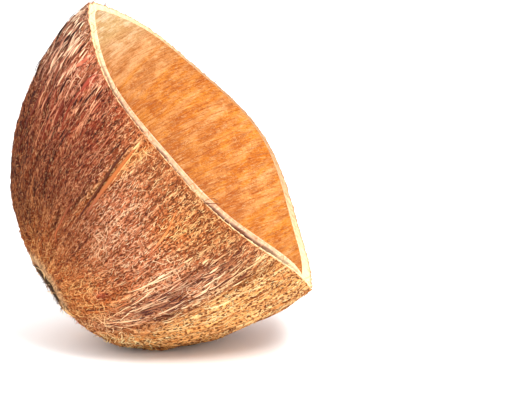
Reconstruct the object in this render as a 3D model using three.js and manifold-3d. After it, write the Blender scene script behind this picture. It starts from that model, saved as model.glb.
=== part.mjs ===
// One half of a husked coconut shell, cut across and lying on its side: a hollow bowl whose opening faces
// right and up. The hard shell and the coat of husk fibre on it grew as one piece, so it is one solid.
// Units are millimetres, +Z is up, and the origin is the middle of the flat spot that the half rests on.

import * as THREE from 'three';
import { mergeVertices } from 'three/addons/utils/BufferGeometryUtils.js';
import Module from 'manifold-3d';

const degree = Math.PI / 180;

// The bowl, measured from the middle of its opening
const openingCentre = new THREE.Vector3(19.2, 0.4, 66.4);
const openingTilt = 39 * degree; // how far the bowl's axis points above the horizontal, towards +X
const openingRadius = 60;
const bowlDepth = 71;
const topFullness = 2.34; // 2 is a round side, and higher is straighter with a squarer turn at the pole
const bottomFullness = 3.03;
const depthCurve = 1.65; // 2 is a round pole, and lower is more pointed
const poleDrop = 3.4; // how far the pole sits below the bowl's axis

// The three ridges that run from rim to pole, with their rise as a share of the radius
const ridgeCount = 3;
const ridgeTurn = -6 * degree;
const ridgeAtRim = 0.038;
const ridgeAtPole = 0.059;

// The cut's waviness: how far the rim stands out of a flat plane, for each number of waves round it
const rimWaves = [
  { waves: 2, along: -1.64, across: 2.45 },
  { waves: 3, along: 0.92, across: -1.92 },
  { waves: 6, along: -0.4, across: -0.56 },
];

// The wall, and the crack in its cut face between the shell and the coat
const wall = 4.3;
const wallDrop = 1.1; // how much thicker the lower side is, and how much thinner the upper
const crackPlace = 0.66; // from the outside, as a share of the wall
const crackWidth = 0.8;
const crackDepth = 1.4;
const crackUnevenness = 0.4;

// The coat's ribs of combed fibre, as waves round the bowl that drift as they run down to the pole
const ribs = [
  { count: 59, drift: 5, height: 0.42 },
  { count: 41, drift: -7, height: 0.4 },
  { count: 29, drift: 6, height: 0.3 },
];
const ribPatches = { count: 5, drift: 4, depth: 0.45 }; // where the ribs are weaker

// The scar where the fruit hung: a hollow with a low lip
const scar = { turn: 272 * degree, reach: 73 * degree, radius: 9.5, depth: 1.6, lip: 0.7 };

// The ribs are pressed smooth out to this distance from the middle of the flat spot
const restRadius = 18;

// Loose fibre: strands combed down the coat, a fringe past the rim, and tangles that stand off the coat
const strandRoot = 0.8; // how deep an end is sunk
const strandSeed = 11;
const combed = {
  count: 16,
  thickness: 1.1,
  lift: 0.9,
  start: [12 * degree, 52 * degree],
  length: [13 * degree, 26 * degree],
  lean: 5 * degree,
};
const fringe = {
  count: 22,
  thickness: 0.8,
  root: 9 * degree,
  edge: 3 * degree,
  length: [1.5, 4],
  lean: 5 * degree,
  flare: 0.9,
};
const tangle = {
  strands: 3,
  steps: 9,
  thickness: 0.9,
  lift: 1.9,
  length: [11, 20],
  curl: [1.1, 2.6],
  edge: 3 * degree,
};
const tanglePlaces = [
  [316, 10],
  [252, 19],
  [248, 52],
  [234, 44],
  [226, 24],
  [80, 22],
  [122, 46],
].map(([turn, reach]) => ({ turn: turn * degree, reach: reach * degree }));

// The mesh: rows from rim to pole, the most points that a row has, and how close they may come
const outerRows = 23;
const innerRows = 9;
const outerPoints = 160;
const innerPoints = 80;
const fewestPoints = 20;
const closestPoints = 1.5;
const rowCrowding = 1.2; // over 1 brings the rows closer together towards the pole
const finestDetail = 0.03; // slivers thinner than this are dropped where strands meet the coat
const gridStep = 0.01;

const upAxis = new THREE.Vector3(-Math.sin(openingTilt), 0, Math.cos(openingTilt));
const sideAxis = new THREE.Vector3(0, 1, 0);
const outAxis = new THREE.Vector3(Math.cos(openingTilt), 0, Math.sin(openingTilt));

const between = (low, high) => low + (high - low) * THREE.MathUtils.seededRandom();
const evenly = (count) => Array.from({ length: count }, (_, i) => i / count);

// A point of the wall. turn goes round the bowl from the top of its opening, reach from the rim (0) to the
// pole (a right angle), and inset from the outside (0) to the inside (wall). The section is a superellipse.
function wallPoint(turn, reach, inset) {
  const upper = (1 + Math.cos(turn)) / 2;
  const fullness = topFullness * upper + bottomFullness * (1 - upper);
  const down = Math.sin(reach) ** (2 / depthCurve);
  const spread = Math.max(Math.cos(reach), 0) ** (2 / fullness);
  const ridge = THREE.MathUtils.lerp(ridgeAtRim, ridgeAtPole, down);
  const lobed = 1 + ridge * Math.cos(ridgeCount * (turn - ridgeTurn));
  const radius = (openingRadius - inset) * spread * lobed;
  const rise = rimWaves.reduce((sum, wave) =>
    sum + wave.along * Math.cos(wave.waves * turn) + wave.across * Math.sin(wave.waves * turn), 0);
  return openingCentre.clone()
    .addScaledVector(upAxis, radius * Math.cos(turn) - poleDrop * down ** 2 + wallDrop * inset / wall)
    .addScaledVector(sideAxis, radius * Math.sin(turn))
    .addScaledVector(outAxis, rise * (1 - down) - (bowlDepth - inset) * down);
}

function ribHeight(turn, reach) {
  const patch = (1 + Math.sin(ribPatches.count * turn + ribPatches.drift * reach)) / 2;
  const height = ribs.reduce((sum, rib) =>
    sum + rib.height * Math.sin(rib.count * turn + rib.drift * reach), 0);
  return height * (1 - ribPatches.depth * patch);
}

const scarCentre = wallPoint(scar.turn, scar.reach, 0);

function scarHeight(point) {
  const away = point.distanceTo(scarCentre) / scar.radius;
  const hollow = Math.max(1 - away ** 2, 0) ** 2;
  return scar.lip * Math.exp(-(((away - 1) / 0.3) ** 2)) - scar.depth * hollow;
}

// A point at a height over the coat, straight out from the middle of the opening. The floor presses flat
// whatever would lie below it.
function coatPoint(turn, reach, height = 0) {
  const point = wallPoint(turn, reach, 0);
  const loose = THREE.MathUtils.smoothstep(point.length(), restRadius * 0.6, restRadius);
  const relief = ribHeight(turn, reach) * loose + scarHeight(point) + height;
  const outward = point.clone().sub(openingCentre).normalize();
  point.addScaledVector(outward, relief);
  point.z = Math.max(point.z, 0);
  return point;
}

// Rows of points round the bowl, joined by faces into one closed skin
const corners = [];
const faces = [];

function addRow(count, place) {
  return evenly(count).map((share) => corners.push(place(share * 2 * Math.PI)) - 1);
}

function joinRows(first, second) {
  const firstSteps = first.length > 1 ? first.length : 0;
  const secondSteps = second.length > 1 ? second.length : 0;
  let i = 0;
  let j = 0;
  while (i < firstSteps || j < secondSteps) {
    const here = first[i % first.length];
    const there = second[j % second.length];
    if (j === secondSteps || (i < firstSteps && (i + 1) * secondSteps <= (j + 1) * firstSteps)) {
      i += 1;
      faces.push(here, first[i % first.length], there);
    } else {
      j += 1;
      faces.push(here, second[j % second.length], there);
    }
  }
}

function pointsInRow(reach, most) {
  const around = 2 * Math.PI * openingRadius * Math.cos(reach) ** (2 / topFullness);
  let count = most;
  while (count > fewestPoints && around / count < closestPoints) count /= 2;
  return count;
}

// The reach of each row from the rim to the last one before the pole
function rowReaches(rows) {
  return evenly(rows).map((share) => (Math.PI / 2) * (1 - (1 - share) ** rowCrowding));
}

function buildSkin() {
  const rows = [];
  const pole = Math.PI / 2;
  rows.push(addRow(1, () => wallPoint(0, pole, wall)));
  for (const reach of rowReaches(innerRows).reverse()) {
    rows.push(addRow(pointsInRow(reach, innerPoints), (turn) => wallPoint(turn, reach, wall)));
  }
  for (const [across, sunk] of [[crackWidth / 2, 0], [0, crackDepth], [-crackWidth / 2, 0]]) {
    rows.push(addRow(outerPoints, (turn) =>
      wallPoint(turn, 0, crackPlace * wall + across)
        .addScaledVector(outAxis, -sunk * (1 + crackUnevenness * Math.sin(2 * turn)))));
  }
  for (const reach of rowReaches(outerRows)) {
    rows.push(addRow(pointsInRow(reach, outerPoints), (turn) => coatPoint(turn, reach)));
  }
  rows.push(addRow(1, () => coatPoint(0, pole)));
  for (let i = 1; i < rows.length; i += 1) joinRows(rows[i - 1], rows[i]);
  const skin = new THREE.BufferGeometry();
  skin.setAttribute('position', new THREE.Float32BufferAttribute(corners.flatMap((c) => c.toArray()), 3));
  skin.setIndex(faces);
  return skin;
}

// A strand of fibre: a three-sided rod along a smooth path
function strandAlong(points, thickness) {
  const section = new THREE.Shape(evenly(3).map((share) => new THREE.Vector2(
    (thickness / 2) * Math.cos(2 * Math.PI * share),
    (thickness / 2) * Math.sin(2 * Math.PI * share),
  )));
  const extrudePath = new THREE.CatmullRomCurve3(points);
  return new THREE.ExtrudeGeometry(section, { steps: points.length - 1, bevelEnabled: false, extrudePath });
}

// Both ends sunk in the coat and the middle lifted off it
const arch = (share, lift) => -strandRoot + (lift + strandRoot) * Math.sin(Math.PI * share);

function combedStrand(share) {
  const turn = (share + between(0, 0.7 / combed.count)) * 2 * Math.PI;
  const start = between(...combed.start);
  const length = between(...combed.length);
  const lean = between(-combed.lean, combed.lean);
  const points = [...evenly(8), 1].map((part) =>
    coatPoint(turn + lean * part, start + length * part, arch(part, combed.lift)));
  return strandAlong(points, combed.thickness);
}

function fringeStrand(share) {
  const turn = (share + between(0, 0.9 / fringe.count)) * 2 * Math.PI;
  const length = between(...fringe.length);
  const lean = between(-fringe.lean, fringe.lean);
  const root = coatPoint(turn - lean, fringe.root, -strandRoot);
  const edge = coatPoint(turn, fringe.edge, 0.1);
  const beyond = [0.2, 1].map((part) =>
    coatPoint(turn + lean * part, 0, 0.1 + fringe.flare * part).addScaledVector(outAxis, length * part));
  return strandAlong([root, edge, ...beyond], fringe.thickness);
}

// A curling strand, drawn step by step over the coat with a heading that keeps turning
function tangleStrand(place) {
  const length = between(...tangle.length);
  const curl = between(...tangle.curl) * (between(0, 1) < 0.5 ? -1 : 1);
  const heading = between(0, 2 * Math.PI);
  const around = openingRadius * Math.cos(place.reach);
  let across = (-length / 3) * Math.cos(heading + curl / 2);
  let along = (-length / 3) * Math.sin(heading + curl / 2);
  const points = [...evenly(tangle.steps), 1].map((part) => {
    across += (length / tangle.steps) * Math.cos(heading + curl * part);
    along += (length / tangle.steps) * Math.sin(heading + curl * part);
    const reach = Math.max(place.reach + along / bowlDepth, tangle.edge);
    return coatPoint(place.turn + across / around, reach, arch(part, tangle.lift));
  });
  return strandAlong(points, tangle.thickness);
}

// Joining the strands to the skin, each as a closed solid
const wasm = await Module();
wasm.setup();

function toSolid(geometry) {
  geometry.deleteAttribute('normal');
  geometry.deleteAttribute('uv');
  const merged = mergeVertices(geometry);
  return new wasm.Manifold(new wasm.Mesh({
    numProp: 3,
    vertProperties: merged.attributes.position.array,
    triVerts: new Uint32Array(merged.index.array),
  }));
}

// The solid's faces, with every corner moved to a fine grid, so that no edge is shorter than the grid's step
function toGeometry(solid) {
  const mesh = solid.getMesh();
  const snapped = mesh.vertProperties.map((place) => Math.round(place / gridStep) * gridStep);
  const geometry = new THREE.BufferGeometry();
  geometry.setAttribute('position', new THREE.BufferAttribute(snapped, 3));
  geometry.setIndex(new THREE.BufferAttribute(mesh.triVerts, 1));
  const merged = mergeVertices(geometry);
  const corner = Array.from(merged.index.array);
  const kept = corner.filter((_, i) => {
    const [a, b, c] = corner.slice(i - (i % 3), i - (i % 3) + 3);
    return a !== b && b !== c && c !== a;
  });
  merged.setIndex(kept);
  merged.computeVertexNormals();
  return merged;
}

function buildHalf() {
  THREE.MathUtils.seededRandom(strandSeed);
  const strands = [
    ...evenly(combed.count).map(combedStrand),
    ...evenly(fringe.count).map(fringeStrand),
    ...tanglePlaces.flatMap((place) => evenly(tangle.strands).map(() => tangleStrand(place))),
  ];
  const joined = strands.reduce((solid, strand) => solid.add(toSolid(strand)), toSolid(buildSkin()));
  const coir = new THREE.MeshStandardMaterial({ color: 0xb5713f, roughness: 0.9, metalness: 0 });
  const mesh = new THREE.Mesh(toGeometry(joined.simplify(finestDetail)), coir);
  mesh.name = 'coconut_half';
  return mesh;
}

const coconut = new THREE.Group();
coconut.add(buildHalf());

export default coconut;
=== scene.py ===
"""The looks of one half of a husked coconut shell, lying on its side with its opening facing right and up.

The half is one grown thing. Its pieces here are what a person sees of it: the coat of husk fibre, the cut
face of the rim, the lining of the hollow, and the fibre that stands off the coat, from the short nap to the
loose curls.

Lengths are metres. A place on the bowl is a turn and a reach, in radians. The turn runs round the bowl from
the top of its opening, away from the camera first. The reach runs from the rim (0) to the pole (a right
angle). Places that are listed have both in degrees.
"""

import math

import bpy
import numpy as np
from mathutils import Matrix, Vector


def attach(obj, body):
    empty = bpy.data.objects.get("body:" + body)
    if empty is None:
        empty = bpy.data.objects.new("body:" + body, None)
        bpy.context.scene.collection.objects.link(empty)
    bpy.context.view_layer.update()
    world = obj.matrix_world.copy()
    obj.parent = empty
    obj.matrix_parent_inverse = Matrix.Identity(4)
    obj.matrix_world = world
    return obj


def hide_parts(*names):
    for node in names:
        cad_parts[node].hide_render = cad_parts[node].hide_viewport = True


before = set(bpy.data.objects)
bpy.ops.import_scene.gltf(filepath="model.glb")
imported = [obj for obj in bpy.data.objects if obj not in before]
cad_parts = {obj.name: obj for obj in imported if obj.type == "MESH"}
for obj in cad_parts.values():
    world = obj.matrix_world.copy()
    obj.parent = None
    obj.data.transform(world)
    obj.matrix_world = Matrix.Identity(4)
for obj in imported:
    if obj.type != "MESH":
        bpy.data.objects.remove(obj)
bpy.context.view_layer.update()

# Camera
# The half is seen from ten degrees above the table and nine to the right of square on, through a long lens at
# arm's length. It lies left of the picture's middle, which is aimed a little right of its opening.
MM = 0.001
opening_centre = np.array([19.2, 0.4, 66.4]) * MM
camera_turn = math.radians(8.9)
camera_height = math.radians(10)
camera_distance = 0.7
aim_right, aim_down = 15.0 * MM, 19.75 * MM
lens_mm, sensor_mm = 147.2, 36


def towards(turn, height):
    """The way to a place that is a turn to the right of square on and a height above the table, as angles."""
    return np.array([math.sin(turn) * math.cos(height), -math.cos(turn) * math.cos(height), math.sin(height)])


def aim_from(thing, way, distance, target):
    """Puts a camera or a light at a distance from its target, out along the way, and turns it round to it."""
    thing.location = target + distance * way
    thing.rotation_mode = "QUATERNION"
    thing.rotation_quaternion = Vector(-way).to_track_quat("-Z", "Y")
    bpy.context.scene.collection.objects.link(thing)


towards_camera = towards(camera_turn, camera_height)
camera_right = np.array([math.cos(camera_turn), math.sin(camera_turn), 0.0])
camera_up = np.cross(towards_camera, camera_right)
aim = opening_centre + aim_right * camera_right - aim_down * camera_up

camera = bpy.data.objects.new("camera", bpy.data.cameras.new("camera"))
camera.data.lens = lens_mm
camera.data.sensor_width = sensor_mm
camera.data.clip_start = 0.01
aim_from(camera, towards_camera, camera_distance, aim)
bpy.context.scene.camera = camera

# Husk coat
# The outside of the shell, where the husk was torn off and left its inner fibres, combed from the rim to the
# scar that the stem left. It is a superellipse bowl with three low ridges and ribs of matted fibre.
opening_tilt = math.radians(39)
opening_radius = 60 * MM
bowl_depth = 71 * MM
top_fullness, bottom_fullness = 2.34, 3.03
depth_curve = 1.65
pole_drop = 3.4 * MM
ridge_count, ridge_turn = 3, math.radians(-6)
ridge_at_rim, ridge_at_pole = 0.038, 0.059
wall = 4.3 * MM
wall_drop = 1.1 * MM
rest_radius = 18 * MM
pole = math.pi / 2

# The cut's waves round the rim: how many, and how far they stand out in mm, as a cosine and as a sine
rim_waves = ((2, -1.64, 2.45), (3, 0.92, -1.92), (6, -0.4, -0.56))

# The ribs: how many go round the bowl, how far they drift on their way down, and their height in mm
ribs = ((59, 5, 0.42), (41, -7, 0.4), (29, 6, 0.3))
rib_patch_count, rib_patch_drift, rib_patch_depth = 5, 4, 0.45
ribs_at_rim, ribs_whole_from = 0.45, 0.3

scar_turn, scar_reach = math.radians(272), math.radians(73)
scar_radius, scar_depth, scar_lip = 9.5 * MM, 1.6 * MM, 0.7 * MM
scar_lip_width = 0.3

up_axis = np.array([-math.sin(opening_tilt), 0.0, math.cos(opening_tilt)])
side_axis = np.array([0.0, 1.0, 0.0])
out_axis = np.array([math.cos(opening_tilt), 0.0, math.sin(opening_tilt)])


def wall_points(turn, reach, inset=0.0):
    """Points of the wall: turn goes round, reach goes down, inset goes in from the outside. The depth is the
    sine of the reach to a power and the radius its cosine to another, which makes a superellipse. The ridges
    scale the radius by a cosine of the turn, and waves of the turn lift the rim out of its plane. The bowl
    sinks with the square of its depth, and its inside stands a little high, so the wall is thicker below."""
    upper = (1 + np.cos(turn)) / 2
    fullness = top_fullness * upper + bottom_fullness * (1 - upper)
    down = np.sin(reach) ** (2 / depth_curve)
    spread = np.maximum(np.cos(reach), 0) ** (2 / fullness)
    ridge = ridge_at_rim * (1 - down) + ridge_at_pole * down
    radius = (opening_radius - inset) * spread * (1 + ridge * np.cos(ridge_count * (turn - ridge_turn)))
    rise = MM * sum(
        along * np.cos(count * turn) + across * np.sin(count * turn) for count, along, across in rim_waves
    )
    upward = radius * np.cos(turn) - pole_drop * down**2 + wall_drop * inset / wall
    outward = rise * (1 - down) - (bowl_depth - inset) * down
    sideward = radius * np.sin(turn)
    return opening_centre + sum(
        amount[..., None] * axis
        for amount, axis in ((upward, up_axis), (sideward, side_axis), (outward, out_axis))
    )


def smooth_step(low, high, value):
    """0 at low, 1 at high, and three squares less two cubes of the share between. Low may be above high."""
    share = np.clip((value - low) / (high - low), 0, 1)
    return share**2 * (3 - 2 * share)


def waves(turn, reach, counts, drift, seed):
    """The sum of many sines of turn and reach over the root of half their count, with whole counts round the
    bowl, so it closes on itself. Each count gets its own drift down the bowl and its own start, at random."""
    draw = np.random.default_rng(seed)
    total = 0.0
    for count in counts:
        angle = count * turn + draw.uniform(-drift, drift) * reach + draw.uniform(0, 2 * math.pi)
        total = total + np.sin(angle)
    return total / math.sqrt(len(counts) / 2)


def bell(turn, reach, turn_at, reach_at, turn_spread, reach_spread):
    """1 at a place given in degrees, falling off as a bell with its own spread each way."""
    across = (np.degrees(turn) - turn_at + 180) % 360 - 180
    along = np.degrees(reach) - reach_at
    return np.exp(-((across / turn_spread) ** 2) - (along / reach_spread) ** 2)


def bells(turn, reach, places):
    """The sum of the bells of many places."""
    return sum(bell(turn, reach, *place) for place in places)


scar_centre = wall_points(np.array(scar_turn), np.array(scar_reach))


def scar_distance(turn, reach):
    """How far a place is from the middle of the scar, in radii of the scar."""
    return np.linalg.norm(wall_points(turn, reach) - scar_centre, axis=-1) / scar_radius


# The scar on the bowl seen flat, and how far round it the fibres swirl on their way there
scar_spot = (pole - scar_reach) * np.exp(1j * scar_turn)
swirl = -0.16


def straightened(flat):
    """Where a place would be if the fibres ran straight from the rim to the pole. Places are complex numbers,
    on the bowl seen flat with the pole in its middle. In truth each fibre runs to the scar, with a slight
    swirl, so eight rounds take off the scar's own shift and the swirl, less of both towards the rim."""
    straight = flat
    for _ in range(8):
        share = 1 - np.minimum(abs(straight) / pole, 1)
        straight = (flat - scar_spot * share) * np.exp(-1j * swirl * share)
    return straight


def combed_place(turn, reach):
    """The turn and reach of a place along the fibres, with the scar as the pole."""
    straight = straightened((pole - reach) * np.exp(1j * turn))
    return np.angle(straight), pole - abs(straight)


# The torn surface: fine grooves between fibres, deep ones between cords, and short clefts in the mat. The
# deep grooves and the clefts get deeper while their waves rise from the first height given to the second.
fine_counts = (83, 97, 109, 127, 139, 151, 173, 191)
fine_depth = 0.17 * MM
groove_counts = (89, 101, 113, 127, 139)
groove_depth = 0.55 * MM
groove_heights = (0.5, 1.6)
cleft_counts = (47, 67, 83, 97, 113)
cleft_depth = 0.4 * MM
cleft_heights = (1.1, 2.2)
cleft_least = 0.3

# Turn, reach, and how far each place spreads round and down, in degrees
corded_places = ((336, 8, 22, 13), (35, 8, 30, 14), (239, 30, 6, 30), (112, 30, 9, 40))
shoulder_places = ((308, 30, 24, 24), (30, 40, 60, 30))


def pole_room(reach):
    """1 over most of the bowl, and less where all ribs meet at the pole: a cosine that is cut off at 1."""
    return np.clip(2.2 * np.cos(reach), 0, 1)


def grooved(turn, reach):
    """From 0 to 1, how deeply the coat is torn into cords: most at the upper rim and along the low ridge."""
    return np.clip(bells(turn, reach, corded_places), 0, 1)


def torn(turn, reach):
    """From 0 to 1 each, the deep grooves between cords and the shorter clefts in the mat, where a sum of
    waves along the fibres stands highest. The clefts are deepest on the shoulders, and both fade out at the
    pole."""
    way = combed_place(turn, reach)
    grooves = smooth_step(*groove_heights, waves(*way, groove_counts, drift=9, seed=4)) * grooved(turn, reach)
    rough = np.clip(cleft_least + bells(turn, reach, shoulder_places), 0, 1)
    clefts = smooth_step(*cleft_heights, waves(*way, cleft_counts, drift=13, seed=6)) * rough
    return pole_room(reach) * grooves, pole_room(reach) * clefts


def coat_points(turn, reach, height=0.0):
    """Points at a height over the coat, straight out from the middle of the opening: the wall, and on it the
    ribs, the fine and deep grooves, the clefts, and the scar's hollow inside its lip. The table presses the
    ribs smooth, and the saw left them lower at the rim. Past the rim, where the reach is below 0, the points
    go on along the opening's axis."""
    beyond = np.maximum(-reach, 0) * opening_radius
    reach = np.maximum(reach, 0)
    points = wall_points(turn, reach)
    loose = smooth_step(0.6 * rest_radius, rest_radius, np.linalg.norm(points, axis=-1))
    patch = (1 + np.sin(rib_patch_count * turn + rib_patch_drift * reach)) / 2
    rib = sum(high * np.sin(count * turn + drift * reach) for count, drift, high in ribs) * MM
    rib_share = ribs_at_rim + (1 - ribs_at_rim) * smooth_step(0, ribs_whole_from, reach)
    fine = fine_depth * waves(*combed_place(turn, reach), fine_counts, drift=9, seed=3)
    grooves, clefts = torn(turn, reach)
    mat = pole_room(reach) * (rib_share * rib * (1 - rib_patch_depth * patch) + fine)
    mat = mat - groove_depth * grooves - cleft_depth * clefts
    away = scar_distance(turn, reach)
    lip = scar_lip * np.exp(-(((away - 1) / scar_lip_width) ** 2))
    scar = lip - scar_depth * np.maximum(1 - away**2, 0) ** 2
    relief = loose * mat * smooth_step(0.9, 1.7, away) + scar + height
    outward = points - opening_centre
    points = points + relief[..., None] * outward / np.linalg.norm(outward, axis=-1, keepdims=True)
    points = points + beyond[..., None] * out_axis
    points[..., 2] = np.maximum(points[..., 2], 0)
    return points


def linear(*colours):
    """sRGB colours from 0 to 255 as linear light."""
    share = np.asarray(colours, float).squeeze() / 255
    return np.where(share <= 0.04045, share / 12.92, ((share + 0.055) / 1.055) ** 2.4)


def tinted(colours, share, colour):
    """Colours mixed with another by a share of it at each place."""
    return colours + share[..., None] * (colour - colours)


# The coat's finishes, each as its darkest, middle and palest fibre
finishes = {
    "bleached": linear((38, 15, 10), (166, 104, 78), (250, 216, 180)),
    "wine": linear((46, 12, 8), (154, 58, 36), (246, 172, 130)),
    "brown": linear((38, 11, 4), (98, 38, 17), (174, 98, 54)),
    "sienna": linear((88, 34, 18), (212, 128, 86), (255, 220, 178)),
    "tan": linear((92, 42, 16), (180, 104, 50), (240, 194, 124)),
    "mauve": linear((74, 36, 34), (190, 122, 92), (248, 210, 172)),
    "ochre": linear((130, 62, 26), (248, 182, 106), (255, 244, 186)),
    "amber": linear((92, 38, 12), (216, 116, 50), (255, 200, 122)),
    "bark": linear((80, 24, 8), (138, 64, 33), (208, 130, 84)),
    "honey": linear((104, 50, 16), (214, 122, 46), (255, 214, 124)),
    "skin": linear((110, 24, 18), (184, 58, 44), (232, 140, 112)),
}

# Where each finish shows: its middle's turn and reach, and how far it spreads each way, in degrees
patches = (
    ("bleached", 342, 4, 22, 14), ("bleached", 35, 2, 40, 7),
    ("wine", 305, 18, 20, 16), ("wine", 75, 36, 34, 26),
    ("brown", 307, 40, 27, 18), ("brown", 20, 60, 50, 22), ("brown", 299, 26, 11, 11),
    ("sienna", 268, 24, 16, 18), ("sienna", 140, 34, 26, 30), ("sienna", 322, 5, 8, 8),
    ("bark", 278, 42, 14, 12),
    ("skin", 320.8, 6, 2.4, 5), ("skin", 313, 7, 1.8, 5), ("skin", 253, 47, 2, 2),
    ("honey", 282.6, 18, 1.8, 15), ("honey", 258, 14, 5, 6),
    ("tan", 258, 6, 26, 10), ("tan", 165, 8, 26, 14),
    ("mauve", 238, 34, 6, 30), ("mauve", 111, 30, 8, 30),
    ("ochre", 212, 30, 18, 36), ("ochre", 180, 60, 30, 26),
    ("amber", 268, 56, 30, 14), ("amber", 250, 80, 60, 14), ("amber", 90, 80, 60, 14),
)
scar_taupe = linear((110, 84, 60))
scar_cream = linear((224, 190, 142))
streak_counts = (13, 29, 37, 53, 71, 97, 127)
streak_contrast = 0.09
groove_shadow, cleft_shadow = 0.65, 0.4


def coir_colour(turn, reach, tone):
    """Linear colour of the fibre at a place. Each patch weighs in by a bell of its distance, and the tone,
    from 0 to 1, runs through its darkest, middle and palest fibre. Streaks change the tone along the fibres,
    and grooves and clefts darken it. The scar is taupe inside a cream lip."""
    total, weight = 0.0, 0.0
    grooves, clefts = torn(turn, reach)
    streaks = waves(*combed_place(turn, reach), streak_counts, drift=9, seed=5)
    tone = tone + streak_contrast * streaks - np.maximum(groove_shadow * grooves, cleft_shadow * clefts)
    tone = np.clip(tone, 0, 1)[..., None]
    for name, *place in patches:
        dark, middle, pale = finishes[name]
        share = bell(turn, reach, *place)[..., None] + 1e-9
        darker, paler = dark + 2 * tone * (middle - dark), middle + (2 * tone - 1) * (pale - middle)
        total = total + share * np.where(tone < 0.5, darker, paler)
        weight = weight + share
    away = scar_distance(turn, reach)
    lip = 0.75 * np.exp(-(((away - 1.1) / 0.2) ** 2))
    shade = tinted(total / weight, lip, scar_cream * (0.4 + tone))
    return tinted(shade, smooth_step(1.0, 0.75, away), scar_taupe * (0.4 + 1.2 * tone))


def round_the_bowl(columns):
    """Turns all the way round the bowl, with no turn given twice."""
    return np.linspace(0, 2 * math.pi, columns, endpoint=False)


def wrapped_grid(rows, columns):
    """Faces of a grid that closes round on itself, with its rows in order and each face's corners turning so
    that it points to the right of the way from a row to the next."""
    row, column = np.meshgrid(np.arange(rows - 1), np.arange(columns), indexing="ij")
    here = (row * columns + column).ravel()
    beside = (row * columns + (column + 1) % columns).ravel()
    return np.stack([here, beside, beside + columns, here + columns], axis=1)


def make_piece(name, slot, points, faces, material, colours, **more):
    """A mesh object on the root body, in place of the half's own node, which it hides. The slot given is not
    used.
    Its faces all have as many corners, and its colours and the other values given, such as the combed
    direction, are attributes of its points."""
    mesh = bpy.data.meshes.new(name)
    corners = faces.shape[1]
    mesh.vertices.add(len(points))
    mesh.vertices.foreach_set("co", points.astype(np.float32).ravel())
    mesh.loops.add(faces.size)
    mesh.loops.foreach_set("vertex_index", faces.astype(np.int32).ravel())
    mesh.polygons.add(len(faces))
    mesh.polygons.foreach_set("loop_start", np.arange(len(faces), dtype=np.int32) * corners)
    mesh.polygons.foreach_set("loop_total", np.full(len(faces), corners, dtype=np.int32))
    mesh.polygons.foreach_set("use_smooth", np.ones(len(faces), dtype=bool))
    mesh.update(calc_edges=True)
    shades = np.concatenate([colours, np.ones((len(points), 1))], axis=1)
    attribute = mesh.color_attributes.new("colour", "FLOAT_COLOR", "POINT")
    attribute.data.foreach_set("color", shades.astype(np.float32).ravel())
    for title, values in more.items():
        kind, field = ("FLOAT_VECTOR", "vector") if values.ndim == 2 else ("FLOAT", "value")
        attribute = mesh.attributes.new(title, kind, "POINT")
        attribute.data.foreach_set(field, values.astype(np.float32).ravel())
    mesh.materials.append(material)
    piece = bpy.data.objects.new(name, mesh)
    bpy.context.scene.collection.objects.link(piece)
    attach(piece, "root")
    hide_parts("coconut_half")


def combed_direction(turn, reach):
    """Where a point is for a pattern that is stretched along the fibres and closes round the bowl: the cosine
    and the sine of its turn along the fibres, and its reach along them."""
    turn, reach = combed_place(turn, reach)
    return np.stack([np.cos(turn), np.sin(turn), reach], axis=-1).reshape(-1, 3)


class Finish:
    """A material with a principled shader, and short ways to add the nodes that feed it."""

    def __init__(self, name, roughness, specular):
        self.material = bpy.data.materials.new(name)
        self.material.use_nodes = True
        self.tree = self.material.node_tree
        self.shader = self.tree.nodes["Principled BSDF"]
        self.shader.inputs["Roughness"].default_value = roughness
        self.shader.inputs["Specular IOR Level"].default_value = specular

    def node(self, kind, **settings):
        made = self.tree.nodes.new(kind)
        for key, value in settings.items():
            setattr(made, key, value)
        return made

    def feed(self, socket, value):
        """Links a socket to another, or sets its value."""
        if isinstance(value, bpy.types.NodeSocket):
            self.tree.links.new(value, socket)
        else:
            socket.default_value = value

    def attribute(self, name, output="Color"):
        return self.node("ShaderNodeAttribute", attribute_name=name).outputs[output]

    def place(self):
        return self.node("ShaderNodeTexCoord").outputs["Object"]

    def stretched(self, source, scale):
        mapping = self.node("ShaderNodeMapping")
        self.feed(mapping.inputs["Scale"], scale)
        self.feed(mapping.inputs["Vector"], source)
        return mapping.outputs["Vector"]

    def noise(self, vector, scale=1.0, detail=2.0, roughness=0.5, distortion=0.0):
        noise = self.node("ShaderNodeTexNoise")
        names = ("Vector", "Scale", "Detail", "Roughness", "Distortion")
        for key, value in zip(names, (vector, scale, detail, roughness, distortion)):
            self.feed(noise.inputs[key], value)
        return noise.outputs["Fac"]

    def cells(self, vector):
        cells = self.node("ShaderNodeTexVoronoi")
        self.feed(cells.inputs["Vector"], vector)
        self.feed(cells.inputs["Scale"], 1)
        return cells.outputs["Distance"]

    def ranged(self, value, low, high, to_low=0.0, to_high=1.0):
        """A value that runs from to_low to to_high while the one given runs from low to high."""
        made = self.node("ShaderNodeMapRange")
        names = ("Value", "From Min", "From Max", "To Min", "To Max")
        for key, number in zip(names, (value, low, high, to_low, to_high)):
            self.feed(made.inputs[key], number)
        return made.outputs["Result"]

    def worked(self, how, first, second):
        made = self.node("ShaderNodeMath", operation=how)
        self.feed(made.inputs[0], first)
        self.feed(made.inputs[1], second)
        return made.outputs[0]

    def paint(self, colour, layers):
        """Gives the shader a colour with layers over it. A layer has its share, its colour and its blend."""
        for share, layer_colour, blend in layers:
            made = self.node("ShaderNodeMix", data_type="RGBA", blend_type=blend)
            for index, value in ((0, share), (6, colour), (7, layer_colour)):
                self.feed(made.inputs[index], value)
            colour = made.outputs[2]
        self.feed(self.shader.inputs["Base Color"], colour)

    def bump(self, height, strength, distance):
        bump = self.node("ShaderNodeBump")
        for key, value in (("Height", height), ("Strength", strength), ("Distance", distance)):
            self.feed(bump.inputs[key], value)
        self.feed(self.shader.inputs["Normal"], bump.outputs["Normal"])


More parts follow.
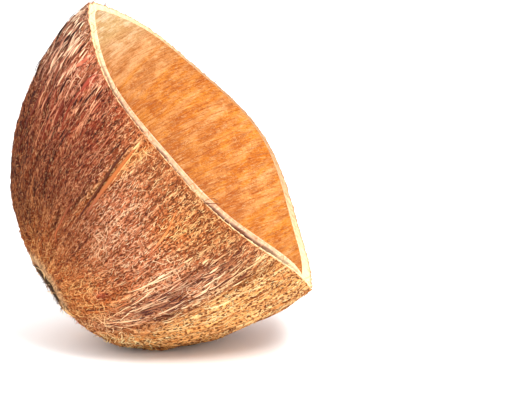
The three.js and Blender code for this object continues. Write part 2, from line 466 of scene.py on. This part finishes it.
coat_rows, coat_columns = 130, 720
row_crowding = 1.1
pitted_under_ridge, pitted_near_side = (205, 32, 26, 44), (262, 24, 26, 26)

# How often each pattern of the finish repeats, round the bowl both ways and down it, and linear colours
grain_scale, fleck_scale, pit_scale = (110, 110, 9), (150, 150, 46), (66, 66, 44)
grain_brown = (0.52, 0.3, 0.19, 1)
fleck_cream = (0.36, 0.21, 0.1, 1)
fleck_brown = (0.26, 0.11, 0.05, 1)
# painted shade in the coat's pits, which the bump also sinks
pit_shade_brown = (0.16, 0.045, 0.012, 1)

coat_finish = Finish("husk coat", roughness=0.85, specular=0.12)
combed = coat_finish.attribute("combed", "Vector")
grain = coat_finish.noise(coat_finish.stretched(combed, grain_scale), detail=4)
flecks = coat_finish.noise(coat_finish.stretched(combed, fleck_scale), detail=3, roughness=0.6)
pits = coat_finish.worked(
    "MULTIPLY",
    coat_finish.ranged(coat_finish.cells(coat_finish.stretched(combed, pit_scale)), 0.46, 0.26),
    coat_finish.attribute("pitted", "Fac"),
)
coat_finish.paint(coat_finish.attribute("colour"), (
    (coat_finish.ranged(grain, 0.4, 0.56, 0.85, 0.0), grain_brown, "MULTIPLY"),
    (coat_finish.ranged(flecks, 0.54, 0.66), fleck_cream, "SCREEN"),
    (coat_finish.ranged(flecks, 0.45, 0.38), fleck_brown, "MULTIPLY"),
    (pits, pit_shade_brown, "MIX"),
))
coat_height = coat_finish.worked("ADD", grain, flecks)
coat_height = coat_finish.worked("ADD", coat_height, coat_finish.worked("MULTIPLY", pits, -0.6))
coat_finish.bump(coat_height, 1.0, 0.5 * MM)

reach_rows = pole * (1 - (1 - np.linspace(0, 1, coat_rows)) ** row_crowding)
reach, turn = np.meshgrid(reach_rows, round_the_bowl(coat_columns), indexing="ij")
coat_tone = 0.5 + 0.08 * waves(turn, reach, (113, 131, 167, 193), drift=12, seed=7)
pitted = 1.2 * bell(turn, reach, *pitted_under_ridge) + 0.9 * bell(turn, reach, *pitted_near_side) + 0.4
pitted = np.clip(pitted, 0, 1) * smooth_step(1.1, 1.5, scar_distance(turn, reach))
make_piece(
    "husk_coat",
    "husk_fibre",
    coat_points(turn, reach).reshape(-1, 3),
    wrapped_grid(coat_rows, coat_columns),
    coat_finish.material,
    coir_colour(turn, reach, coat_tone).reshape(-1, 3),
    combed=combed_direction(turn, reach),
    pitted=pitted.ravel(),
)

# Cut rim
# The saw's cut through shell and coat: a pale cream face, browner on the far side, a crack with painted shade
# where the hard shell has parted from the layer inside it, and that thin layer's pinkish edge with a tan line
# in it.
rim_rows, rim_columns = 25, 900
crack_width = 0.8 * MM
crack_depth = 1.8 * MM
layer_rise = 0.95 * MM
cut_mark_depth = 0.09 * MM

# Where the inner layer has parted, where the cut is brown, and the least parting all round
parted_near_side, brown_far_side = (269, 0, 50, 1), (85, 0, 55, 1)
least_parting = 0.08

# Places across the cut, as shares of the wall from the outside in
outer_round = 0.3
crack_place = 0.58
crack_wander = 0.03
inner_line_place, inner_line_width = 0.87, 0.045

cream = linear((230, 206, 160))
cut_tan = linear((182, 122, 66))
cut_brown = linear((150, 96, 50))
crack_shadow_brown = linear((84, 42, 24))
edge_pink = linear((206, 166, 138))
speck_tan = (0.55, 0.36, 0.2, 1)

rim_finish = Finish("cut shell", roughness=0.65, specular=0.2)
rim_specks = rim_finish.noise(rim_finish.place(), 900, detail=3)
rim_finish.paint(rim_finish.attribute("colour"), (
    (rim_finish.ranged(rim_specks, 0.5, 0.72, 0.0, 0.7), speck_tan, "MULTIPLY"),
))
rim_finish.bump(rim_specks, 0.7, 0.25 * MM)


def parting(turn):
    """From 0 to 1, how far the thin layer inside the shell has come away: most in the middle of the near
    side, as a tall bell that is cut off at 1, and a little all the way round."""
    near = np.clip(1.6 * bell(turn, 0, *parted_near_side) - least_parting, 0, 1)
    return least_parting + (1 - least_parting) * near


across, rim_turn = np.meshgrid(np.linspace(1, 0, rim_rows), round_the_bowl(rim_columns), indexing="ij")
parted = parting(rim_turn)
wander = crack_wander * waves(rim_turn, 0, (5, 11, 17, 31), drift=0, seed=8)
crack_middle = crack_place + wander
cut_marks = waves(rim_turn, across, (41, 87, 133, 201, 287), drift=9, seed=9)

# The relief: the crack and the saw's marks are sunk, the layer inside the crack stands up, and the outer edge
# follows the coat.
in_crack = np.exp(-(((across - crack_middle) * wall / crack_width) ** 2))
sunk = crack_depth * parted * in_crack * smooth_step(1, 0.85, across)
sunk += cut_mark_depth * cut_marks * np.sin(math.pi * across)
raised = layer_rise * parted * smooth_step(crack_place + 0.08, crack_place + 0.3, across)
past_edge = smooth_step(0, outer_round, across)
rim_points = wall_points(rim_turn, np.zeros_like(rim_turn), across * wall)
rim_points = rim_points + (raised - sunk)[..., None] * out_axis
outer_edge = coat_points(rim_turn[-1], np.zeros(rim_columns))
rim_points += (1 - past_edge)[..., None] * (outer_edge - rim_points[-1])

# The colours, each over the last: cream with a tan edge, the pink layer, the brown far side, painted shade in
# the crack, the line in the layer, and darker marks.
inner_layer = smooth_step(crack_place + 0.12, crack_place + 0.2, across)
crack_shadow_share = smooth_step(crack_middle - 0.14, crack_middle - 0.04, across)
crack_shadow_share *= smooth_step(crack_middle + 0.22, crack_middle + 0.16, across)
inner_line = np.exp(-(((across - inner_line_place - wander) / inner_line_width) ** 2)) * parted
rim_colours = tinted(cut_tan, past_edge, cream)
rim_colours = tinted(rim_colours, inner_layer * parted, edge_pink)
rim_colours = tinted(rim_colours, 0.9 * bell(rim_turn, 0, *brown_far_side), cut_brown)
# painted shade: the crack is darkened where the layers part
rim_colours = tinted(rim_colours, crack_shadow_share * parted, crack_shadow_brown)
rim_colours = tinted(rim_colours, 0.7 * inner_line, cut_tan)
rim_colours = rim_colours * (1 - 0.14 * np.clip(cut_marks, -1, 1))[..., None]
make_piece(
    "cut_rim",
    "cut_shell",
    rim_points.reshape(-1, 3),
    wrapped_grid(rim_rows, rim_columns),
    rim_finish.material,
    rim_colours.reshape(-1, 3),
)

# Shell lining
# The inner skin that the flesh grew against: thin, orange-tan and faintly striped from the rim down, with
# painted light that makes it pale under the top of the rim, and painted shade that makes it darker and
# browner towards the bottom of the bowl.
lining_rows, lining_columns = 100, 480
lining_swirl = 0.25
wrinkle_height = 0.12 * MM
lining_pale_and_lit = linear((255, 242, 204))
lining_tan = linear((222, 142, 44))
lining_shade_brown = linear((146, 80, 26))
painted_light_top, unstriped_top, bristled_top = (2, 0, 28, 28), (2, 0, 26, 24), (350, 0, 16, 9)

# How often each pattern of the finish repeats, and linear colours
streak_scale, speck_scale, thread_scale = (72, 72, 9), (130, 130, 24), (34, 34, 13)
mottle_scale, grit_scale = 150, 1400
streak_tan = (0.68, 0.5, 0.3, 1)
mottle_tan = (0.76, 0.58, 0.34, 1)
speck_cream = (0.3, 0.22, 0.11, 1)
thread_cream = (0.3, 0.2, 0.1, 1)
bristle_brown = (*linear((92, 44, 16)), 1)
grit_brown = (0.7, 0.46, 0.26, 1)

lining_finish = Finish("shell lining", roughness=0.55, specular=0.3)
lining_place = lining_finish.place()
lining_combed = lining_finish.attribute("combed", "Vector")
striped = lining_finish.attribute("striped", "Fac")
bristled = lining_finish.attribute("bristled", "Fac")
mottle = lining_finish.noise(lining_place, mottle_scale, detail=6, roughness=0.65)
grit = lining_finish.noise(lining_place, grit_scale, detail=4, roughness=0.7)
streaks = lining_finish.noise(
    lining_finish.stretched(lining_combed, streak_scale), detail=6, roughness=0.72
)
specks = lining_finish.noise(lining_finish.stretched(lining_combed, speck_scale), detail=3, roughness=0.65)
threads = lining_finish.noise(lining_finish.stretched(lining_combed, thread_scale), detail=3, distortion=1.6)
off_thread = lining_finish.worked("ABSOLUTE", lining_finish.worked("SUBTRACT", threads, 0.5), 0.0)
thread_lines = lining_finish.ranged(off_thread, 0.016, 0.004)
dark_streaks = lining_finish.ranged(streaks, 0.4, 0.54, 0.9, 0.0)
pale_specks = lining_finish.ranged(specks, 0.54, 0.66, 0.0, 0.8)
lining_finish.paint(lining_finish.attribute("colour"), (
    (lining_finish.worked("MULTIPLY", dark_streaks, striped), streak_tan, "MULTIPLY"),
    (lining_finish.ranged(mottle, 0.56, 0.44, 0.0, 0.9), mottle_tan, "MULTIPLY"),
    (lining_finish.worked("MULTIPLY", pale_specks, striped), speck_cream, "SCREEN"),
    (lining_finish.worked("MULTIPLY", thread_lines, striped), thread_cream, "SCREEN"),
    (
        lining_finish.worked("MULTIPLY", lining_finish.ranged(streaks, 0.52, 0.45), bristled),
        bristle_brown,
        "MIX",
    ),
    (lining_finish.ranged(grit, 0.5, 0.4, 0.0, 0.5), grit_brown, "MULTIPLY"),
))
striped_height = lining_finish.worked("ADD", streaks, specks)
striped_height = lining_finish.worked(
    "ADD", striped_height, lining_finish.worked("MULTIPLY", thread_lines, 0.3)
)
lining_height = lining_finish.worked(
    "ADD", grit, lining_finish.worked("MULTIPLY", striped_height, striped)
)
lining_finish.bump(lining_height, 0.6, 0.4 * MM)

reach, turn = np.meshgrid(np.linspace(pole, 0, lining_rows), round_the_bowl(lining_columns), indexing="ij")
lining_points = wall_points(turn, reach, wall)
inward = opening_centre - lining_points
inward /= np.linalg.norm(inward, axis=-1, keepdims=True) + 1e-9
wrinkles = waves(turn, reach, (7, 13, 19, 31, 43), drift=7, seed=21)
lining_points += (wrinkle_height * wrinkles * np.sin(2 * reach) ** 2)[..., None] * inward
lining_points += (layer_rise * parting(turn) * smooth_step(0.1, 0, reach))[..., None] * out_axis
# painted shade: the lining grows darker and browner with depth into the bowl
depth_shade_share = smooth_step(0.1, 1.1, reach)
# The lining's own pale streaks, and a pale patch of painted light under the top of the rim
pale_and_lit_share = 0.05 + 0.07 * waves(turn, reach, (11, 23, 37, 61, 89, 113), drift=7, seed=23)
pale_and_lit_share += 1.7 * bell(turn, reach, *painted_light_top)
lining_colours = tinted(lining_tan, np.clip(pale_and_lit_share, 0, 1) * (1 - depth_shade_share), lining_pale_and_lit)
lining_colours = tinted(lining_colours, depth_shade_share, lining_shade_brown)
stripe_share = smooth_step(1.35, 0.9, reach) * (1 - 0.4 * bell(turn, reach, *unstriped_top))
make_piece(
    "shell_lining",
    "shell_lining",
    lining_points.reshape(-1, 3),
    wrapped_grid(lining_rows, lining_columns),
    lining_finish.material,
    lining_colours.reshape(-1, 3),
    combed=combed_direction(turn + lining_swirl * reach, reach),
    striped=stripe_share.ravel(),
    bristled=bell(turn, reach, *bristled_top).ravel(),
)

# Coir nap
# The torn ends of the husk's fibres, thousands of short pale and dark bristles that are combed down the coat.
# Each is a flattened spindle with three sides, laid along the fibres with a little scatter.
measuring_step = 1e-4
flatness = 0.6
tries_per_strand = 16
scar_clearance = 1.3
over_table = 0.03 * MM

# How close to the rim and the pole the wall is measured, and to the pole a strand may come, in radians
rim_margin, pole_margin, strand_margin = 0.02, 0.01, 0.004


def surface_steps(turn, reach):
    """How the wall moves for one radian of turn and of reach, by central differences."""
    reach = np.clip(reach, rim_margin, pole - pole_margin)
    step = measuring_step
    across = (wall_points(turn + step, reach) - wall_points(turn - step, reach)) / (2 * step)
    along = (wall_points(turn, reach + step) - wall_points(turn, reach - step)) / (2 * step)
    return across, along


def scattered(count, draw, density):
    """Random places on the coat by a density from 0 to 1, and none on the scar: places are drawn evenly in
    turn and reach, and each is kept with a chance of its share of the area."""
    turn = draw.uniform(0, 2 * math.pi, count * tries_per_strand)
    reach = draw.uniform(0.005, pole - pole_margin, count * tries_per_strand)
    across, along = surface_steps(turn, reach)
    area = np.linalg.norm(np.cross(across, along), axis=-1)
    chance = area / area.max() * density(turn, reach) * (scar_distance(turn, reach) > scar_clearance)
    kept = np.flatnonzero(draw.uniform(0, 1, len(turn)) < chance)[:count]
    return turn[kept], reach[kept]


def strand_lines(turn, reach, heading, draw, lengths, curliness, points):
    """Middle lines that walk over the coat from a place: each step goes the way of its heading, in radians
    from the way of the fibres. The length in mm is drawn from a range, and how far the heading turns along
    the strand is drawn from a bell as wide as the curliness. The walk is done on the bowl seen flat, as
    complex numbers round the pole, with the stretch each way as it is at the start. The fibres go straight
    to the scar there, plus what its shift and the swirl add. Returns the lines' turns and reaches, by the
    point."""
    length = draw.uniform(*lengths, len(turn)) * MM
    curl = draw.normal(0, curliness, len(turn))
    flat = (pole - reach) * np.exp(1j * turn)
    across, along = surface_steps(turn, reach)
    stretch_round = np.linalg.norm(across, axis=-1) / abs(flat)
    stretch_down = np.linalg.norm(along, axis=-1)
    from_scar = flat - scar_spot * (1 - np.minimum(abs(straightened(flat)) / pole, 1))
    fibre = (-from_scar / abs(from_scar) + (1j * swirl * from_scar + scar_spot) / pole) * np.exp(-1j * turn)
    fibre = fibre.real * stretch_down + 1j * fibre.imag * stretch_round
    share = np.linspace(0, 1, points)
    way = heading[:, None] + curl[:, None] * (share - 0.5)
    stride = (fibre / abs(fibre) * length / (points - 1))[:, None] * np.exp(1j * way)
    stride = stride.real / stretch_down[:, None] + 1j * stride.imag / stretch_round[:, None]
    line = flat[:, None] + np.cumsum(stride * np.exp(1j * turn)[:, None], axis=1)
    return np.angle(line), pole - np.maximum(abs(line), strand_margin)


def arch(points, start=0.0, end=1.0):
    """The sine of half a turn from one share of it to another, for the rise or the size along a strand."""
    return np.sin(math.pi * np.linspace(start, end, points))


def strand_faces(rings, sides):
    """Triangles of one strand: a fan at its first point, bands between its rings, and a fan at its last."""
    side = np.arange(sides)
    after = (side + 1) % sides
    last_point = 1 + sides * rings
    parts = [
        np.stack([np.zeros(sides, int), 1 + after, 1 + side], axis=1),
        np.stack([np.full(sides, last_point), last_point - sides + side, last_point - sides + after], axis=1),
    ]
    for ring in range(rings - 1):
        low, high = 1 + sides * ring, 1 + sides * (ring + 1)
        parts.append(np.stack([low + side, low + after, high + after], axis=1))
        parts.append(np.stack([low + side, high + after, high + side], axis=1))
    return np.concatenate(parts)


def strand_mesh(lines, rise, width, tone, paler=0.2, sides=3):
    """Points, faces and colours of many strands. Each follows its middle line at its rise over the coat,
    with flattened rings round it whose size falls to a point at both ends as the root of a sine. The tone
    gets paler along the strand."""
    line_turn, line_reach = lines
    count, stations = line_turn.shape
    line = coat_points(line_turn, line_reach, rise)
    ahead = np.gradient(line, axis=1)
    ahead /= np.linalg.norm(ahead, axis=-1, keepdims=True) + 1e-12
    beside = np.cross(line - opening_centre, ahead)
    beside /= np.linalg.norm(beside, axis=-1, keepdims=True) + 1e-12
    above = flatness * np.cross(ahead, beside)
    size = (width[:, None] / 2 * arch(stations) ** 0.5)[:, 1:-1, None, None]
    angle = (2 * math.pi * np.arange(sides) / sides + math.pi / 2)[:, None]
    spoke = np.cos(angle) * beside[:, 1:-1, None] + np.sin(angle) * above[:, 1:-1, None]
    rings = (line[:, 1:-1, None] + size * spoke).reshape(count, -1, 3)
    points = np.concatenate([line[:, :1], rings, line[:, -1:]], axis=1)
    points[..., 2] = np.maximum(points[..., 2], over_table)
    first_points = np.arange(count) * points.shape[1]
    faces = (strand_faces(stations - 2, sides)[None] + first_points[:, None, None]).reshape(-1, 3)
    ring_of = np.concatenate([[0], np.repeat(np.arange(1, stations - 1), sides), [stations - 1]])
    tone = tone[:, None] + paler * (np.linspace(0, 1, stations)[ring_of] - 0.5)
    shade = coir_colour(line_turn[:, ring_of], np.maximum(line_reach[:, ring_of], 0), tone)
    return points.reshape(-1, 3), faces, shade.reshape(-1, 3)


coir_finish = Finish("coir", roughness=0.75, specular=0.2)
coir_finish.paint(coir_finish.attribute("colour"), ())


def make_strands(name, *strands, **shape):
    """A piece of many strands of coir, from their lines, rise, width and tone."""
    points, faces, shade = strand_mesh(*strands, **shape)
    make_piece(name, "husk_fibre", points, faces, coir_finish.material, shade)


bare_place = (204, 36, 27, 46)


def shaggy(bare_share):
    """A density for scattered strands: 1 all over, less by a share of how bare the coat is. It is bare under
    the lower ridge, where it rubs on the table."""
    return lambda turn, reach: 1 - bare_share * np.clip(1.15 * bell(turn, reach, *bare_place), 0, 1)


# The nap lies four times as wild at the pole as at the rim. Lengths, widths and lifts are in mm from here on.
nap_curl, nap_bare_share = 0.35, 0.93
pole_scatter, wilder_from, wild_from = 3, 0.7, 1.3
nap_layers = (
    # name, seed, count, points of a line, then length, width, lift and tone from and to, and the scatter
    ("coir_nap_dark", 101, 15000, 4, (0.5, 1.6), (0.22, 0.42), (0.0, 0.08), (-0.3, 0.1), 0.3),
    ("coir_nap_short", 102, 15000, 4, (0.8, 2.2), (0.15, 0.28), (0.04, 0.16), (0.5, 1.25), 0.35),
    ("coir_nap_long", 103, 6500, 5, (1.8, 4.2), (0.15, 0.27), (0.06, 0.26), (-0.1, 1.1), 0.2),
)
for name, seed, count, stations, lengths, widths, lifts, tones, scatter in nap_layers:
    draw = np.random.default_rng(seed)
    turn, reach = scattered(count, draw, shaggy(nap_bare_share))
    amount = len(turn)
    scatter = scatter * (1 + pole_scatter * smooth_step(wilder_from, wild_from, reach))
    heading = draw.normal(0, 1, amount) * scatter
    lines = strand_lines(turn, reach, heading, draw, lengths, nap_curl, stations)
    rise = draw.uniform(*lifts, amount)[:, None] * MM * arch(stations, 0.1, 0.9)
    width = draw.uniform(*widths, amount) * MM
    make_strands(name, lines, rise, width, draw.uniform(*tones, amount))

# Coir cords
# Bundles of fibre that stayed together when the husk was torn off, pale and dark by turns. They lie along the
# upper rim and the lower ridge, half sunk in the coat.
cord_count, cord_stations = 800, 11
cord_scatter, cord_curl = 0.09, 0.25
cord_lengths, cord_rises, cord_widths = (5, 14), (0.05, 0.55), (0.28, 0.62)
cord_tones = (-0.1, 0.95)

draw = np.random.default_rng(201)
turn, reach = scattered(cord_count, draw, lambda turn, reach: np.clip(0.01 + grooved(turn, reach), 0, 1))
amount = len(turn)
heading = draw.normal(0, cord_scatter, amount)
lines = strand_lines(turn, reach, heading, draw, cord_lengths, cord_curl, cord_stations)
rise = draw.uniform(*cord_rises, amount)[:, None] * MM * arch(cord_stations) ** 0.5
width = draw.uniform(*cord_widths, amount) * MM
make_strands("coir_cords", lines, rise, width, draw.uniform(*cord_tones, amount))

# Rim ridges
# Along the top of the cut and down the low ridge the husk broke off in short ridges of fibre, close side by
# side, some pale, some tan and some dark. They keep clear of the two red slivers near the top.
rim_ridge_stations = 8
rim_ridge_scatter, rim_ridge_curl = 0.08, 0.2
rim_ridge_lengths, rim_ridge_widths, rises_per_width = (2.5, 7), (0.38, 0.74), (0.1, 0.7)
rim_ridge_tones = (-0.3, 0.35, 0.75, 1.05)
darker_place = (238, 42, 14, 24)
rim_ridge_places = (
    # turn and reach in degrees, how far they spread each way, ridges
    (334, 8, 15, 7, 270), (28, 7, 17, 6, 150), (112, 14, 7, 10, 60), (238, 26, 4, 16, 90),
)
sliver_places = ((320, 5, 4, 6), (313, 7, 3, 5))

draw = np.random.default_rng(251)
turn, reach = np.concatenate([
    np.radians(draw.normal((turn_at, reach_at), (turn_spread, reach_spread), (ridges, 2)))
    for turn_at, reach_at, turn_spread, reach_spread, ridges in rim_ridge_places
]).T
reach = abs(reach) + 0.02
clear = bells(turn, reach, sliver_places) < 0.4
turn, reach = turn[clear], reach[clear]
amount = len(turn)
heading = draw.normal(0, rim_ridge_scatter, amount)
lines = strand_lines(turn, reach, heading, draw, rim_ridge_lengths, rim_ridge_curl, rim_ridge_stations)
width = draw.uniform(*rim_ridge_widths, amount) * MM
rise = draw.uniform(*rises_per_width, amount)[:, None] * width[:, None] * arch(rim_ridge_stations) ** 0.5
tone = draw.choice(rim_ridge_tones, amount) - 0.3 * bell(turn, reach, *darker_place)
make_strands("rim_ridges", lines, rise, width, tone, sides=5)

# Raised bundles
# A few thick bundles of fibre lie on the coat where the husk was pulled away, smooth and half sunk. The
# longest runs down from the rim in the middle of the near side, with a pale fibre on it and beside it a dark
# strand that is its painted shadow.
bundle_courses = (
    # width in mm and tone, then the turn and reach in degrees of each place that the bundle passes
    (1.4, 0.22, (284.6, 5), (283.2, 13.5), (281.3, 23), (278.8, 34)),
    (0.4, 0.6, (284.0, 5), (283.0, 10), (282.1, 15), (281.0, 20)),
    # a dark strand beside the longest bundle, as its painted shadow
    (0.9, -0.2, (286.2, 6), (284.8, 15), (282.8, 24), (280.2, 35)),
    # the two red slivers of the husk's skin near the top of the rim
    (1.9, 0.5, (320.6, 2.5), (320.8, 5), (321.1, 7.5), (321.6, 10)),
    (1.5, 0.5, (313.6, 3.5), (313.2, 6), (312.6, 8.5), (312, 11)),
    # an orange one nearer the table
    (0.8, 0.42, (262, 9), (258.5, 16), (257, 21), (256, 26)),
    # the long pale arcs over the low ridge
    (0.4, 1.0, (242, 54), (243.5, 46), (244.5, 38), (246, 30)),
    (0.35, 1.0, (238, 56), (240, 49), (242.5, 42), (243, 34)),
    (0.45, 0.95, (249, 40), (248, 34), (247.5, 28), (247, 22)),
    # the shorter bundles all round
    (0.8, 0.42, (287, 33), (286, 38), (284.5, 44), (282, 49)),
    (0.9, 0.42, (330, 22), (328.5, 30), (328, 37), (326, 45)),
    (1.1, 0.42, (150, 6), (151, 15), (153, 24), (152, 34)),
    (1.0, 0.42, (98, 14), (96, 24), (97, 33), (94, 43)),
    (1.2, 0.42, (52, 8), (54, 17), (53, 27), (56, 36)),
    (0.9, 0.42, (12, 26), (10, 35), (12, 44), (9, 52)),
    (0.8, 0.42, (186, 12), (184, 20), (185, 28), (183, 36)),
)
bundle_stations = 25
bundle_rise = 0.42

courses = np.radians([places for _, _, *places in bundle_courses])
place_shares = np.linspace(0, 1, courses.shape[1])
bundle_shares = np.linspace(0, 1, bundle_stations)
lines = [
    np.stack([np.interp(bundle_shares, place_shares, places) for places in courses[..., axis]])
    for axis in (0, 1)
]
width = np.array([course[0] for course in bundle_courses]) * MM
tone = np.array([course[1] for course in bundle_courses])
rise = bundle_rise * width[:, None] * arch(bundle_stations) ** 0.5
make_strands("raised_bundles", lines, rise, width, tone, paler=0.0, sides=8)

# Loose curls
# Single fibres that sprang free and curl over the coat, in small tangles and here and there between them. One
# tangle, on the near side of the rim, is a dark burr.
single_curls, curl_stations = 130, 13
curl_heading, curliness = 2.4, 2.0
curl_lengths, curl_rises, curl_widths = (2, 6.5), (0.2, 0.9), (0.14, 0.26)
curl_tone, curl_tone_spread, burr_shadow = 0.8, 0.22, 1.1
tangles = (
    # turn and reach in degrees, spread in mm, strands, times as thick as the thinnest
    (320, 11, 4.5, 26, 1.2), (268, 33, 5, 22, 1.2), (254, 48.5, 3, 12, 1.9), (244, 52, 7, 24, 1.0),
    (226, 24, 5, 10, 1.0), (252, 22, 3, 7, 1.0), (283, 5, 3, 7, 1.0), (260, 2, 2, 7, 1.4),
    (222, 52, 8, 22, 1.0), (233, 57, 6, 20, 2.0), (241, 56, 4, 12, 1.7), (225, 59, 5, 12, 2.0),
    (80, 22, 5, 16, 1.2), (122, 46, 6, 18, 1.3), (30, 30, 6, 14, 1.0),
)
burr_place = (260, 2, 2.5, 3)

draw = np.random.default_rng(301)
turn, reach = scattered(single_curls, draw, shaggy(0.9))
thicker = np.ones(len(turn))
for turn_at, reach_at, spread, strands, times in tangles:
    spot = math.radians(turn_at), math.radians(reach_at)
    steps = surface_steps(*map(np.array, spot))
    off = draw.normal(0, 0.5, (2, strands)) * spread * MM
    turn = np.append(turn, spot[0] + off[0] / np.linalg.norm(steps[0]))
    reach = np.append(reach, np.clip(spot[1] + off[1] / np.linalg.norm(steps[1]), 0.01, 1.5))
    thicker = np.append(thicker, np.full(strands, times))
amount = len(turn)
heading = draw.uniform(-curl_heading, curl_heading, amount)
lines = strand_lines(turn, reach, heading, draw, curl_lengths, curliness, curl_stations)
rise = draw.uniform(*curl_rises, amount)[:, None] * MM * arch(curl_stations, 0.04, 0.9)
width = draw.uniform(*curl_widths, amount) * thicker * MM
tone = draw.normal(curl_tone, curl_tone_spread, amount) - burr_shadow * bell(turn, reach, *burr_place)
make_strands("loose_curls", lines, rise, width, np.clip(tone, 0, 1))

# Scar hairs
# Stiff dark hairs and cream fibres that the stem left in its scar and round it, some of them standing up.
hair_count, hair_stations = 190, 9
hair_heading, hair_curl = 3, 0.8
hair_lengths, hair_rises, hair_widths = (2, 6), (0.2, 1.8), (0.16, 0.34)
hair_tones, hair_shares = (-0.3, 0.9), (0.45, 0.55)
hair_dark = linear((62, 42, 26))

draw = np.random.default_rng(351)
angle = draw.uniform(0, 2 * math.pi, hair_count)
away = scar_radius * draw.uniform(0.1, 1.2, hair_count) ** 0.7
scar_round, scar_down = surface_steps(np.array(scar_turn), np.array(scar_reach))
turn = scar_turn + away * np.cos(angle) / np.linalg.norm(scar_round)
reach = np.minimum(scar_reach + away * np.sin(angle) / np.linalg.norm(scar_down), pole - 0.03)
heading = draw.uniform(-hair_heading, hair_heading, hair_count)
lines = strand_lines(turn, reach, heading, draw, hair_lengths, hair_curl, hair_stations)
rise = draw.uniform(*hair_rises, hair_count)[:, None] * MM * np.linspace(0, 1, hair_stations) ** 1.5
width = draw.uniform(*hair_widths, hair_count) * MM
tone = draw.choice(hair_tones, hair_count, p=hair_shares)
points, faces, shade = strand_mesh(lines, rise, width, tone, paler=0)
shade = tinted(shade, smooth_step(0.35, 0.1, shade.mean(axis=1)), hair_dark)
make_piece("scar_hairs", "husk_fibre", points, faces, coir_finish.material, shade)

# Fluff
# Fine hairs that stand off the coat and past the rim, a third each of them dark, middling and pale. They
# soften its outline against the light.
fluff_count, edge_count, fluff_stations = 4200, 260, 5
fluff_scatter, fluff_curl = 0.8, 0.9
fluff_lengths, fluff_rises, fluff_widths = (0.8, 2.4), (0.1, 1.8), (0.13, 0.22)
fluff_tones, tone_shares, tone_spread = (0.08, 0.48, 0.9), (0.32, 0.33, 0.35), 0.1

draw = np.random.default_rng(401)
turn, reach = scattered(fluff_count, draw, shaggy(0.8))
turn = np.append(turn, draw.uniform(0, 2 * math.pi, edge_count))
reach = np.append(reach, draw.uniform(0.0, 0.03, edge_count))
amount = len(turn)
heading = draw.normal(0, fluff_scatter, amount)
heading[-edge_count:] += math.pi
lines = strand_lines(turn, reach, heading, draw, fluff_lengths, fluff_curl, fluff_stations)
rise = draw.uniform(*fluff_rises, amount)[:, None] * MM * np.linspace(-0.1, 1, fluff_stations) ** 2
width = draw.uniform(*fluff_widths, amount) * MM
tone = draw.normal(draw.choice(fluff_tones, amount, p=tone_shares), tone_spread)
make_strands("fluff", lines, rise, width, np.clip(tone, 0, 1))

# Floor and light
# A plain pale table, a large soft light high on the right, and white walls all round that fill the shadows.
half_floor = 4.0
key_turn, key_height = math.radians(40), math.radians(50)
key_distance, key_size, key_power = 1.2, 0.5, 17
room_brightness = 1.55

floor_mesh = bpy.data.meshes.new("floor")
floor_corners = [(x * half_floor, y * half_floor, 0) for x, y in ((-1, -1), (1, -1), (1, 1), (-1, 1))]
floor_mesh.from_pydata(floor_corners, [], [(0, 1, 2, 3)])
floor_finish = Finish("pale table", roughness=0.9, specular=0.1)
floor_finish.shader.inputs["Base Color"].default_value = (0.95, 0.95, 0.95, 1)
floor_mesh.materials.append(floor_finish.material)
floor = bpy.data.objects.new("floor", floor_mesh)
bpy.context.scene.collection.objects.link(floor)

key = bpy.data.objects.new("key", bpy.data.lights.new("key", "AREA"))
key.data.size = key_size
key.data.energy = key_power
aim_from(key, towards(key_turn, key_height), key_distance, opening_centre)

world = bpy.data.worlds.new("studio")
world.use_nodes = True
world.node_tree.nodes["Background"].inputs["Color"].default_value = (1, 1, 1, 1)
world.node_tree.nodes["Background"].inputs["Strength"].default_value = room_brightness
bpy.context.scene.world = world
bpy.context.scene.view_settings.view_transform = "Standard"
